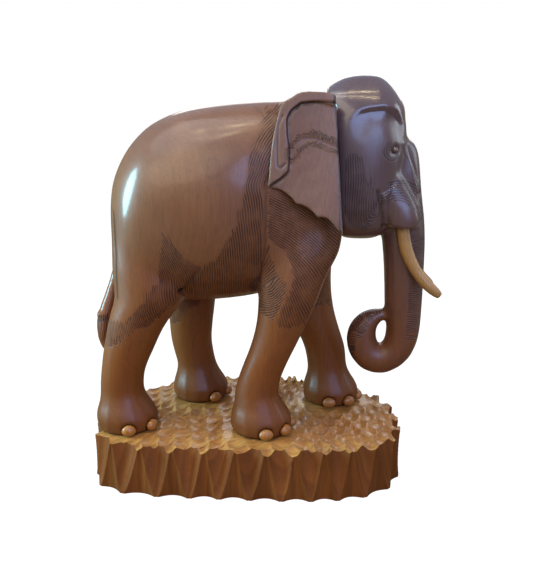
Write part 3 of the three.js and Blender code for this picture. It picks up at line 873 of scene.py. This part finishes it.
def carve_head():
    bm = sanded(copy_of("head_and_trunk"), head_voxel, 10)
    shape_dome(bm)
    points = points_of(bm)
    spots = points[:, [0, 2]]
    depth, painted_shade_and_marks = head_cuts(points)
    push(bm, depth)

    head = as_piece("head_and_trunk_carved", bm, head_wood, "carving_wood", "head_and_trunk")
    keep_strokes(head, "cheek", *ruled_region(spots, cheek_region, cheek_strokes))
    keep_strokes(head, "sheath", *ruled_region(spots, sheath_region, sheath_strokes))
    keep_strokes(head, "trunk", *trunk_strokes(spots))
    round_eye, ahead = eye_distances(spots)
    outer = blend_in(np.abs(points[:, 1]), 0.02, 0.04)
    lid = np.minimum.reduce([round_eye - 7 * mm, 17 * mm - round_eye])
    keep_strokes(head, "eyelid", round_eye, np.minimum(lid, 3 * mm - ahead) * outer)
    keep_amount(head, "painted_shade_and_marks", np.clip(painted_shade_and_marks, 0, 1))


carve_head()

# %% [markdown]
# ## The ears
# Each ear is a thin plate in relief against the neck. Its top and rear edge is folded over as a flap,
# with a deep cut under the flap's inner edge, and its lower edge is scalloped. A crease with rows of
# lashes crosses its face.

# %% The ear's own plane
ear_voxel = 1.3 * mm
ear_corner = np.array([132, 72, 613]) * mm
ear_splay = math.radians(9)
ear_down = np.array([0, math.sin(ear_splay), -math.cos(ear_splay)])
flap_edge = [
    (94, 133), (79, 123), (68, 112), (66, 100), (66, 77), (69, 58), (70, 35), (65, 24), (51, 12.5),
    (29, 10.4), (-6, 12),
]
flap_fold = [(78, 30), (84, 44), (85, 60), (85, 85), (84, 104), (79, 107), (73, 100)]
ear_crease = [(64, 88), (57, 76), (48, 67), (39, 62), (30, 62), (20, 66), (8, 71), (-8, 77)]


def in_ear_plane(points):
    """Each point in the ear's own plane: (back from the seam, down from the top corner), and how far out."""
    offset = np.stack([points[:, 0], np.abs(points[:, 1]), points[:, 2]], axis=1) - ear_corner
    out = offset @ np.array([0, math.cos(ear_splay), math.sin(ear_splay)])
    return np.stack([-offset[:, 0], offset @ ear_down], axis=1), out


def carve_ear(side):
    bm = sanded(copy_of(side + "_ear"), ear_voxel, 5)
    points = points_of(bm)
    place, out = in_ear_plane(points)
    face = blend_in(out, 0.012, 0.018)
    distance, travel, _ = along_line(place, ear_crease)
    depth = np.full(len(points), 0.15 * mm)
    painted_shade_and_marks = np.zeros(len(points))
    # The darkening of these cuts is painted shade under the flap's edge, along its fold and in the crease.
    # Along the seam it is a dark joint line, with painted shade over the plate's lit front edge.
    cut_in([
        (along_line(place, flap_edge)[0], face, 2.6, 3.2, 0.85, 2.6),
        (along_line(place, flap_fold)[0], face, 1.4, 2.6, 0.6, 2.2),
        (distance, blend_in(travel, 0.012, 0.045) * face, 1.5, 6.0, 0.45, 2.6),
        (np.abs(points[:, 0] - seam_at(points[:, 2])), 1.0, 0.0, 1.0, 0.75, 3.0),
    ], depth, painted_shade_and_marks)
    push(bm, depth)
    relax(bm, 6, np.full(len(points), 0.4))
    ear = as_piece(side + "_ear_carved", bm, ear_wood, "carving_wood", side + "_ear")
    reach = np.minimum(14 * mm - distance, distance - 0.5 * mm)
    keep_strokes(ear, "lashes", travel + 0.8 * distance, reach)
    keep_amount(ear, "painted_shade_and_marks", np.clip(painted_shade_and_marks, 0, 1))


for side in ("right", "left"):
    carve_ear(side)

# %% [markdown]
# ## Toenails, tusks and eyes
# These are pale inlays. A toenail is an egg-shaped dome let into the foot, a tusk is a tapering bent
# peg, and an eye is a bead. The nails and eyes start as spheres. A tusk keeps its node's shape, sanded.

# %% Toenails
nail_halves = (7.4 * mm, 11 * mm, 9.5 * mm)
eye_radius = 4.8 * mm
tusk_voxel = 1.1 * mm


def make_nail(node):
    low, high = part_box(node)
    middle = (low + high) / 2
    foot = foot_middle(node)
    turn = math.atan2(middle.y - foot.y, middle.x - foot.x)
    bm = bmesh.new()
    bmesh.ops.create_uvsphere(bm, u_segments=32, v_segments=20, radius=1)
    for vertex in bm.verts:
        x, y, z = vertex.co
        fullness = 1 + 0.06 * (1 - abs(z))
        vertex.co = (x * fullness, y * fullness, z if z > 0 else z * (1 - 0.1 * z * z))
    bmesh.ops.scale(bm, vec=nail_halves, verts=bm.verts)
    bmesh.ops.rotate(bm, matrix=Matrix.Rotation(turn, 3, "Z"), verts=bm.verts)
    bmesh.ops.translate(bm, vec=middle, verts=bm.verts)
    as_piece(node + "_dome", bm, nail_wood, "toenail_wood", node)


def foot_middle(node):
    """The middle of the foot that a toenail is set in, which is where its dowel stands."""
    low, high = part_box(node.split("_toenail")[0] + "_foot_dowel")
    return (low + high) / 2


for node in nail_nodes():
    make_nail(node)

# %% Tusks and eyes
for side in ("right", "left"):
    tusk = sanded(copy_of(side + "_tusk"), tusk_voxel, 6)
    as_piece(side + "_tusk_sanded", tusk, tusk_wood, "tusk_wood", side + "_tusk")
    low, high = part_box(side + "_eye")
    bead = bmesh.new()
    bmesh.ops.create_uvsphere(bead, u_segments=32, v_segments=20, radius=eye_radius)
    bmesh.ops.translate(bead, vec=(low + high) / 2, verts=bead.verts)
    as_piece(side + "_eye_bead", bead, eye_wood, "eye_wood", side + "_eye")

# %% [markdown]
# ## The hidden dowels
# The dowels can't be seen, so their nodes stay as they are and only get plain unvarnished wood.

# %% Dowels
for name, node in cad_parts.items():
    if "dowel" in name:
        node.data.materials.clear()
        node.data.materials.append(dowel_wood)

# %% [markdown]
# ## The plinth
# The plinth is cut with a wide gouge. Its wall has two rows of tapering flutes, one wide at the top and
# one wide at the foot, and its top is covered with long overlapping scoops like fish scales. Crisp
# ridges need faces that end on them, so the top is a net of diamonds, each one divided finely and
# hollowed by a formula, and the wall is a net with its columns close together. A Boolean joins them.

# %% The edge of the plinth
plinth_low, plinth_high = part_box("plinth")
plinth_middle = Vector(((plinth_low.x + plinth_high.x) / 2, 0, 0))
half_length = 260 * mm
near_width = 173 * mm
far_width = 198 * mm
corner_squareness = {(1, -1): 3.3, (-1, -1): 5.0, (-1, 1): 1.9, (1, 1): 2.1}
flutes = 30
set_back = 9 * mm
flute_places, flute_shifts = [-0.25, -0.15, -0.06, 0.02, 0.10, 0.18, 0.25], [0, 9, 13, 12, 6, 0, 0]
plinth_top = plinth_high.z
plinth_knots = np.array([(21, -170, 62), (74, -169, 60)]) * mm
plinth_knot_shape = [1.0, 4.0, 1.3]


def plinth_edge(angle):
    c, s = math.cos(angle), math.sin(angle)
    n = corner_squareness[(1 if c > 0 else -1, 1 if s >= 0 else -1)]
    width = near_width if s < 0 else far_width
    reach = (abs(c / half_length) ** n + abs(s / width) ** n) ** (-1 / n)
    return np.array([c * reach + plinth_middle.x, s * reach])


def even_edge(count):
    """The plinth's outline as evenly spaced points, and the outward direction at each one."""
    ring = np.array([plinth_edge(2 * math.pi * i / 720) for i in range(721)])
    steps = np.linalg.norm(np.diff(ring, axis=0), axis=1)
    travel = np.concatenate([[0], np.cumsum(steps)])
    at = np.arange(count) / count * travel[-1]
    line = np.stack([np.interp(at, travel, ring[:, k]) for k in (0, 1)], axis=1)
    ahead = np.roll(line, -3, axis=0) - np.roll(line, 3, axis=0)
    ahead /= np.linalg.norm(ahead, axis=1)[:, None]
    return line, np.stack([ahead[:, 1], -ahead[:, 0]], axis=1), travel[-1]


# %% The fluted wall
least_flute = 0.03
columns_per_flute = 36
wall_rows = 26
wall_overrun = 14 * mm


def soft_max(a, b, softness):
    return (a + b + np.sqrt((a - b) ** 2 + softness**2)) / 2


def flute_cut(travel, level, pitch):
    """How deep the flutes are at a place along the edge and a level from 0 at the foot to 1 at the top."""
    cuts = []
    for size, shift, taper, deepest in ((level, 0.5, 0.4, 15 * mm), (1 - level, 1.0, 0.75, 11 * mm)):
        size = max(size, least_flute)
        aside = (travel / pitch - shift + 0.5) % 1 * pitch - pitch / 2
        half = 0.48 * pitch * size**taper
        cuts.append(deepest * size**0.5 * (1 - (aside / half) ** 2))
    return soft_max(soft_max(cuts[0], cuts[1], 0.5 * mm), 0.0, 0.8 * mm)


def wall_place(column, z, line, outward, length):
    """Where a point of the wall stands: on the plinth's edge, set back by the flutes and the slope."""
    level = min(z / plinth_top, 1.0)
    travel = column / len(line) * length - 2.5 * mm * math.sin(column * 0.045) * (1 - level)
    if line[column][1] < 0:
        travel -= np.interp(line[column][0], flute_places, flute_shifts) * mm
    cut = flute_cut(travel, level, length / flutes)
    cut += set_back * level**1.5 * max(0.0, -outward[column][1])
    return (*(line[column] - outward[column] * cut), z)


def fluted_block():
    columns = flutes * columns_per_flute
    line, outward, length = even_edge(columns)
    bm = bmesh.new()
    bmesh.ops.create_grid(bm, x_segments=columns, y_segments=wall_rows, size=1)
    for vertex in bm.verts:
        column = round((vertex.co.x + 1) / 2 * columns) % columns
        row = round((vertex.co.y + 1) / 2 * wall_rows)
        z = plinth_low.z + (plinth_top + wall_overrun - plinth_low.z) * row / wall_rows
        vertex.co = wall_place(column, z, line, outward, length)
    bmesh.ops.remove_doubles(bm, verts=bm.verts, dist=0.01 * mm)
    return closed(bm)


def closed(bm):
    """The same mesh with its open rims filled and its faces turned outwards."""
    bmesh.ops.holes_fill(bm, edges=[e for e in bm.edges if e.is_boundary], sides=0)
    bmesh.ops.recalc_face_normals(bm, faces=bm.faces)
    return bm


# %% The scooped top
scoop_width = 27 * mm
scoop_length = 62 * mm
scoop_depth = 8.0 * mm
scoop_roundness = 6 * mm
scoop_steps = 8
scoop_cells = 34
cutter_margin = 30 * mm
chance = np.random.default_rng(7).random((64, 64, 3))
feet = [foot_middle(n) for n in nail_nodes() if n.endswith("toenail_1")]
foot_reach, foot_clearing = 0.058, 0.022


def scoop_place(p, q):
    """The place on the plinth of a point of the diamond net, which leans over towards the rear."""
    a, b = p - scoop_cells / 2, q - scoop_cells / 2
    x = (a - b) * scoop_width / 2
    y = (a + b) * scoop_length / 2
    lean = 0.24 * min(max((0.09 - x) / 0.09, 0), 1)
    x = x + lean * y + plinth_middle.x
    x += 1.6 * mm * math.sin(y * 71 + x * 40)
    y += 2.5 * mm * math.sin(x * 63 + y * 25)
    return x, y


def scooped(p, q):
    """The same point hollowed: each scoop is a dish with its deepest part towards the front."""
    x, y = scoop_place(p, q)
    u, v = p % 1, q % 1
    draw = chance[int(p), int(q)]
    dish = 1 - 2 * (u - 0.5) ** 2 - 2 * (v - 0.5) ** 2
    bowl = 16 * u * (1 - u) * v * (1 - v)
    gap = min(math.hypot(x - foot.x, y - foot.y) for foot in feet)
    clear = min(max((gap - foot_reach) / foot_clearing, 0), 1)
    deep = scoop_depth * (0.4 * dish + (0.45 + 0.45 * draw[0]) * bowl * (1.7 - u - v))
    deep *= 0.2 + 0.8 * clear
    swell_left = (2 * u - 1) ** 2 * math.sin(math.pi * v)
    swell_right = (2 * v - 1) ** 2 * math.sin(math.pi * u)
    x += scoop_roundness * 0.4 * (swell_right - swell_left)
    y -= scoop_roundness * (swell_right + swell_left)
    return x, y, plinth_top - 0.2 * mm - deep + 1.0 * mm * (draw[1] - 0.5) * bowl


def keep_chatter(bm, net_places):
    """Stores where each face is in its scoop, as a UV layer, for the fine arcs of the finish."""
    chatter = bm.loops.layers.uv.new("chatter")
    for face in bm.faces:
        cell = np.floor(np.mean([net_places[v] for v in face.verts], axis=0))
        own_shift = 10 * chance[int(cell[0]), int(cell[1]), 2]
        for loop in face.loops:
            u, v = net_places[loop.vert] - cell
            loop[chatter].uv = ((u + v) / 2 + 0.45 * (u - v) ** 2, own_shift)


def scooped_cutter():
    """A block that covers everything above the scooped surface."""
    steps = scoop_cells * scoop_steps
    bm = bmesh.new()
    bmesh.ops.create_grid(bm, x_segments=steps, y_segments=steps, size=1)
    wide = (half_length + cutter_margin) / (scoop_width / 2)
    deep = (far_width + cutter_margin) / (scoop_length / 2)
    outside = [
        v for v in bm.verts
        if abs(v.co.x - v.co.y) * scoop_cells / 2 > wide or abs(v.co.x + v.co.y) * scoop_cells / 2 > deep
    ]
    bmesh.ops.delete(bm, geom=outside, context="VERTS")
    net_places = {}
    for vertex in bm.verts:
        p, q = (round((part + 1) / 2 * steps) / scoop_steps for part in vertex.co[:2])
        net_places[vertex] = np.array((p, q))
        vertex.co = scooped(p, q)
    keep_chatter(bm, net_places)
    bmesh.ops.remove_doubles(bm, verts=bm.verts, dist=0.001 * mm)
    rim = [e for e in bm.edges if e.is_boundary]
    for part in bmesh.ops.extrude_edge_only(bm, edges=rim)["geom"]:
        if isinstance(part, bmesh.types.BMVert):
            part.co.z = plinth_top + 60 * mm
    return closed(bm)


def make_plinth():
    block = as_object("block", fluted_block())
    cutter = as_object("cutter", scooped_cutter())
    trim = block.modifiers.new("trim", "BOOLEAN")
    trim.operation = "DIFFERENCE"
    trim.solver = "MANIFOLD"
    trim.object = cutter
    bm = applied(block)
    bpy.data.objects.remove(cutter)
    plinth = as_piece("plinth_gouged", bm, plinth_side_wood, "plinth_wood", "plinth")
    plinth.data.materials.append(plinth_top_wood)
    for face in plinth.data.polygons:
        if face.normal.z > 0.3 and face.center.z > plinth_top / 2:
            face.material_index = 1
    plinth.data.set_sharp_from_angle(angle=math.radians(24))
    points = np.array([v.co for v in plinth.data.vertices])
    gaps = [np.linalg.norm((points - knot) / plinth_knot_shape, axis=1) for knot in plinth_knots]
    keep_amount(plinth, "painted_shade_and_marks", groove(np.min(gaps, axis=0), 4 * mm))


make_plinth()

# %% [markdown]
# ## The stage, the lights and the camera
# A pale floor, a soft light from above that the back reflects, a cool one from the front right that the
# face reflects, a narrow one on the left that draws a bright streak down the rump, weak ones behind and
# on the right, and a few small warm lamps overhead, whose glints show how glossy the polish is.

# %% The floor
def seen_and_lighting(board, seen, lighting):
    """The strength or colour that the camera sees, and the darker one that lights the carving."""
    ray = board.add("ShaderNodeLightPath").outputs["Is Camera Ray"]
    return board.mixed(ray, lighting, seen)


def pale_floor():
    bm = bmesh.new()
    bmesh.ops.create_grid(bm, x_segments=1, y_segments=1, size=6)
    floor = as_object("floor", bm)
    material = bpy.data.materials.new("pale_floor")
    material.use_nodes = True
    board = Board(material.node_tree)
    shader = material.node_tree.nodes["Principled BSDF"]
    base = seen_and_lighting(board, (0.12, 0.12, 0.12, 1), (0.24, 0.16, 0.09, 1))
    board.wire(base, shader.inputs["Base Color"])
    ray = board.add("ShaderNodeLightPath").outputs["Is Camera Ray"]
    board.wire(board.times(ray, 0.96), shader.inputs["Emission Strength"])
    shader.inputs["Emission Color"].default_value = (1, 1, 1, 1)
    shader.inputs["Roughness"].default_value = 0.9
    shader.inputs["Specular IOR Level"].default_value = 0.1
    floor.data.materials.append(material)


pale_floor()

# %% The lights
def soft_light(name, place, towards, size, power, tint):
    light = bpy.data.lights.new(name, "AREA")
    light.shape = "ELLIPSE"
    light.size, light.size_y = size
    light.energy = power
    light.color = tint
    lamp = bpy.data.objects.new(name, light)
    lamp.location = place
    lamp.rotation_euler = (Vector(towards) - Vector(place)).to_track_quat("-Z", "Y").to_euler()
    lamp.visible_camera = False
    bpy.context.scene.collection.objects.link(lamp)


middle = (0.0, 0.0, 0.36)
lamp_height, lamp_size, lamp_power, lamp_tint = 2.4, (0.12, 0.05), 1.2, (1.0, 0.8, 0.45)
for name, place, size, power, tint in (
    ("overhead", (-0.9, -0.3, 2.4), (2.0, 1.6), 14, (0.84, 0.92, 1.0)),
    ("cool_window", (1.3, -2.5, 1.6), (2.4, 2.2), 55, (0.34, 0.5, 1.0)),
    ("side_window", (-2.3, -0.35, 0.95), (0.8, 1.3), 84, (0.44, 0.84, 1.0)),
    ("back_window", (0.3, 2.4, 1.5), (2.6, 1.3), 18, (0.95, 0.92, 0.86)),
    ("right_window", (2.3, 0.5, 1.1), (1.0, 1.4), 9, (0.8, 0.9, 1.0)),
    ("warm_room", (-1.2, -2.2, 2.2), (2.6, 2.0), 25, (1.0, 0.84, 0.62)),
):
    soft_light(name, place, middle, size, power, tint)
lamp_places = [(x, y) for x in (-0.6, -0.3, 0.05, 0.35, 0.65) for y in (-0.85, -0.35)]
for number, (x, y) in enumerate(lamp_places):
    place = (x, y, lamp_height)
    soft_light("ceiling_lamp_" + str(number), place, (x, y, 0.0), lamp_size, lamp_power, lamp_tint)


def studio_world():
    """A pale backdrop to look at, whose light on the carving is cool above and dim near the ground."""
    world = bpy.data.worlds.new("studio")
    world.use_nodes = True
    board = Board(world.node_tree)
    up = board.split(board.add("ShaderNodeTexCoord").outputs["Generated"])[2]
    sky = board.mixed(board.spread(up, -0.05, 0.8), (0.22, 0.17, 0.12, 1), (0.38, 0.46, 0.64, 1))
    board.wire(seen_and_lighting(board, (1, 1, 1, 1), sky), world.node_tree.nodes["Background"].inputs[0])
    bpy.context.scene.world = world


studio_world()
bpy.context.scene.view_settings.view_transform = "Standard"

# %% The camera
camera = bpy.data.objects.new("camera", bpy.data.cameras.new("camera"))
camera.location = (0.10466, -1.16488, 0.56559)
yaw, tilt = math.radians(4), math.radians(12.5)
looking = Vector((-math.sin(yaw) * math.cos(tilt), math.cos(yaw) * math.cos(tilt), -math.sin(tilt)))
camera.rotation_euler = looking.to_track_quat("-Z", "Y").to_euler()
camera.data.sensor_width = 36
camera.data.lens = 43.98
bpy.context.scene.collection.objects.link(camera)
bpy.context.scene.camera = camera
